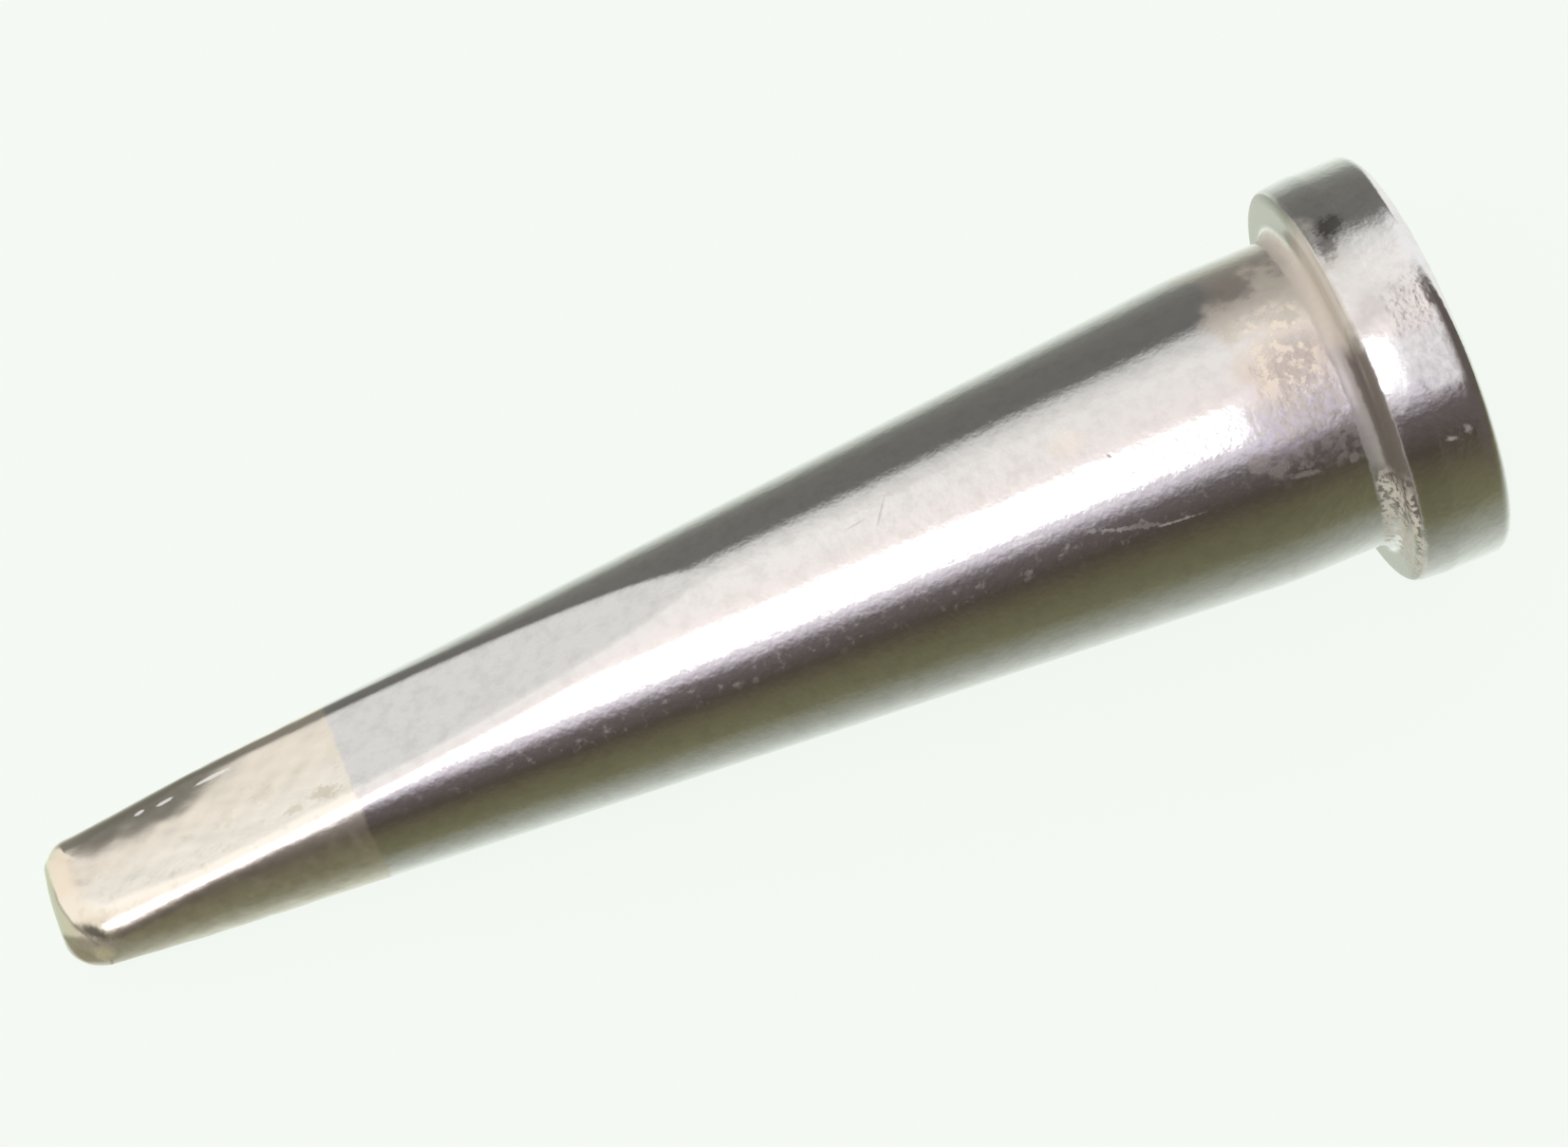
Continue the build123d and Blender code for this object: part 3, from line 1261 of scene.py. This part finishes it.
@dataclass(frozen=True)
class Studio:
    """A studio dome whose long soft strips of light and shade run beside the bit.

    A strip's angle is the one round the bit, from the side that faces the camera, downwards, of the
    surface that mirrors it. The dome turns by twice that angle. Ahead of the nose and behind the collar
    it has lights and shades of its own, and the key is a bright strip between two angles.
    """

    facing: float
    metal: Colour = (0.80, 0.79, 0.78)
    backdrop: Colour = (242, 246, 241)
    dimming: float = 0.09
    nose_light: Colour = (0.92, 0.86, 0.78)
    nose_low_light: Colour = (0.80, 0.84, 0.74)
    nose_shade: Colour = (0.30, 0.28, 0.20)
    rear_light: Colour = (1.0, 1.0, 1.0)
    rear_shade: Colour = (0.13, 0.11, 0.10)
    key_upper: float = -7.6
    key_lower: float = 5.4
    key_soft: float = 1.1
    key_strength: float = 3.4
    floor_colour: Colour = (0.06, 0.062, 0.06)
    floor_glow: float = 0.975
    floor_half_width: float = 0.6
    strips: tuple[Strip, ...] = (
        Strip(-90, (235, 240, 230)), Strip(-80, (222, 227, 218)), Strip(-73, (190, 195, 185)),
        Strip(-66, (125, 125, 120)), Strip(-58, (110, 108, 103)), Strip(-42, (105, 103, 100)),
        Strip(-37, (206, 204, 201)), Strip(-28, (236, 232, 228)), Strip(-14, (240, 232, 228)),
        Strip(-8, (250, 238, 235)), Strip(-3, (218, 211, 211)), Strip(5, (207, 200, 205)),
        Strip(8, (222, 214, 222)), Strip(10, (200, 192, 199)), Strip(12.5, (142, 134, 138)),
        Strip(15, (98, 90, 90)), Strip(25, (74, 66, 59)), Strip(35, (96, 92, 71)),
        Strip(47, (110, 108, 84)), Strip(60, (153, 156, 145)), Strip(76, (210, 215, 206)),
        Strip(90, (235, 240, 230)),
    )

    def build_world(self, place: BitPlace) -> None:
        """Make the dome's light from the strips.

        Formula: half the angle round the bit's axis of the direction that is looked in picks the colour.

        Args:
            place: Where the bit lies, which the strips run beside.
        """
        world = bpy.data.worlds.new("studio")
        bpy.context.scene.world = world
        world.use_nodes = True
        sheet = NodeSheet(world.node_tree)
        looking = sheet.add("ShaderNodeTexCoord").outputs["Generated"]
        towards, down = (place.direction(*axis) for axis in facing_axes(self.facing))
        along = sheet.dot(looking, place.along)
        round_bit = sheet.math("ARCTAN2", sheet.dot(looking, down), sheet.dot(looking, towards))
        angle = sheet.math("MULTIPLY", round_bit, 90 / math.pi)
        share = sheet.math("ADD", sheet.math("DIVIDE", angle, 180), 0.5)
        colour = self.strip_ramp(sheet, share)
        dimmed = sheet.product(sheet.step(along, -0.085, -0.02), sheet.step(along, 0.186, 0.174),
                               self.dimming)
        colour = sheet.mix(dimmed, colour, (0.0, 0.0, 0.0))
        colour = self.ends(sheet, colour, along, angle, sheet.dot(looking, towards))
        colour = self.key(sheet, colour, along, angle)
        seen = sheet.add("ShaderNodeLightPath").outputs["Is Camera Ray"]
        colour = sheet.mix(seen, colour, linear(*self.backdrop))
        sheet.feed(sheet.tree.nodes["Background"].inputs["Color"], colour)

    def strip_ramp(self, sheet: NodeSheet, share: Socket) -> Socket:
        """Return the strips' colour, each divided by the metal's own so that it is seen as stated.

        Args:
            sheet: The node sheet to add to.
            share: The angle as a share, 0 at the first strip and 1 at the last.

        Returns:
            The colour.
        """
        ramp = sheet.add("ShaderNodeValToRGB")
        sheet.feed(ramp.inputs[0], share)
        stops = ramp.color_ramp.elements
        for strip in self.strips[1:-1]:
            stops.new((strip.angle + 90) / 180)
        for stop, strip in zip(stops, self.strips):
            light = np.array(linear(*strip.colour)) / np.array(self.metal)
            stop.color = (*[float(v) for v in light], 1.0)
        return ramp.outputs["Color"]

    def ends(self, sheet: NodeSheet, colour: Socket, along: Socket, angle: Socket, up: Socket) -> Socket:
        """Return the colour with the dome's two ends laid on, ahead of the nose and behind the collar.

        Args:
            sheet: The node sheet to add to.
            colour: The colour so far.
            along: How far the direction looked in points along the bit's axis.
            angle: The strips' angle.
            up: How far the direction looked in points to the facing side.

        Returns:
            The colour.
        """
        ahead = sheet.mix(sheet.step(up, -0.35, -0.60), self.nose_light, self.nose_low_light)
        ahead = sheet.mix(sheet.step(angle, 0, 22), ahead, self.nose_shade)
        colour = sheet.mix(sheet.step(along, -0.34, -0.66), colour, ahead)
        rear = sheet.mix(sheet.step(angle, -26, -16), self.rear_light, self.rear_shade)
        upper = sheet.math("MAXIMUM", sheet.step(angle, -46, -36),
                           sheet.product(sheet.step(along, 0.40, 0.55), sheet.step(angle, -82, -74)))
        beside = sheet.product(sheet.step(angle, 48, 24), upper)
        return sheet.mix(sheet.product(sheet.step(along, 0.215, 0.24), beside), colour, rear)

    def key(self, sheet: NodeSheet, colour: Socket, along: Socket, angle: Socket) -> Socket:
        """Return the colour with the long key light laid on.

        Args:
            sheet: The node sheet to add to.
            colour: The colour so far.
            along: How far the direction looked in points along the bit's axis.
            angle: The strips' angle.

        Returns:
            The colour.
        """
        key = sheet.product(sheet.band(angle, self.key_upper, self.key_lower, self.key_soft),
                            sheet.step(along, -0.78, -0.62), sheet.step(along, 0.006, -0.008))
        return sheet.mix(key, colour, (self.key_strength,) * 3)

    def build_floor(self) -> bpy.types.Object:
        """Make the plain pale floor that the bit lies on.

        Returns:
            The floor.
        """
        half = self.floor_half_width
        corners = [(-half, -half, 0), (half, -half, 0), (half, half, 0), (-half, half, 0)]
        mesh = bpy.data.meshes.new("floor")
        mesh.from_pydata(corners, [], [(0, 1, 2, 3)])
        floor = bpy.data.objects.new("floor", mesh)
        bpy.context.scene.collection.objects.link(floor)
        material = bpy.data.materials.new("floor")
        material.use_nodes = True
        shader = material.node_tree.nodes["Principled BSDF"]
        shader.inputs["Base Color"].default_value = (*self.floor_colour, 1)
        shader.inputs["Roughness"].default_value = 1.0
        shader.inputs["Specular IOR Level"].default_value = 0.0
        shader.inputs["Emission Color"].default_value = (*linear(*self.backdrop), 1)
        shader.inputs["Emission Strength"].default_value = self.floor_glow
        mesh.materials.append(material)
        floor.visible_glossy = False
        return floor


@dataclass(frozen=True)
class StudioCamera:
    """The camera at the photograph's viewing angle.

    What it aims at, its distance, lens and sensor are in millimetres, and its clip start is in metres.
    """

    aim: tuple[float, float, float] = (0.9623, 0.7071, 3.6521)
    azimuth: float = 15.90
    elevation: float = 54.29
    roll: float = 5.13
    distance: float = 105.73
    lens: float = 105.29
    sensor_width: float = 36.0
    clip_start: float = 0.005

    def build(self) -> bpy.types.Object:
        """Make the camera and set it on the scene.

        Returns:
            The camera.
        """
        data = bpy.data.cameras.new("camera")
        data.sensor_width = self.sensor_width
        data.lens = self.lens
        data.clip_start = self.clip_start
        camera = bpy.data.objects.new("camera", data)
        bpy.context.scene.collection.objects.link(camera)
        azimuth, elevation, roll = (math.radians(v) for v in (self.azimuth, self.elevation, self.roll))
        heading = np.array([math.sin(azimuth), math.cos(azimuth), 0.0])
        ahead = heading * math.cos(elevation) - np.array([0, 0, math.sin(elevation)])
        level = np.array([heading[1], -heading[0], 0.0])
        raised = np.cross(level, ahead)
        right = level * math.cos(roll) - raised * math.sin(roll)
        up = raised * math.cos(roll) + level * math.sin(roll)
        spot = (np.array(self.aim) - ahead * self.distance) * MM
        axes = np.stack([right, up, -ahead], 1)
        rows = np.vstack([np.column_stack([axes, spot]), [0, 0, 0, 1]])
        camera.matrix_world = Matrix(rows.tolist())
        bpy.context.scene.camera = camera
        return camera


def main() -> None:
    """Build the bit's looks, the studio and the camera."""
    logging.basicConfig(level=logging.INFO, format="%(message)s")
    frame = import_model()
    sizes = BitSizes()
    place = BitPlace.from_record(frame["record"], sizes.overall_length)
    facing = 34.2  # degrees round the axis, from the upper flat's normal to the camera's side
    skin = TipBody(sizes, facing).build(place)
    LOG.info("%s: %d faces", skin.name, len(skin.data.polygons))
    studio = Studio(facing)
    studio.build_world(place)
    floor = studio.build_floor()
    LOG.info("%s: pale and plain", floor.name)
    camera = StudioCamera().build()
    LOG.info("%s: %.1f mm lens", camera.name, camera.data.lens)
    bpy.context.scene.view_settings.view_transform = "Standard"


if __name__ == "__main__":
    main()
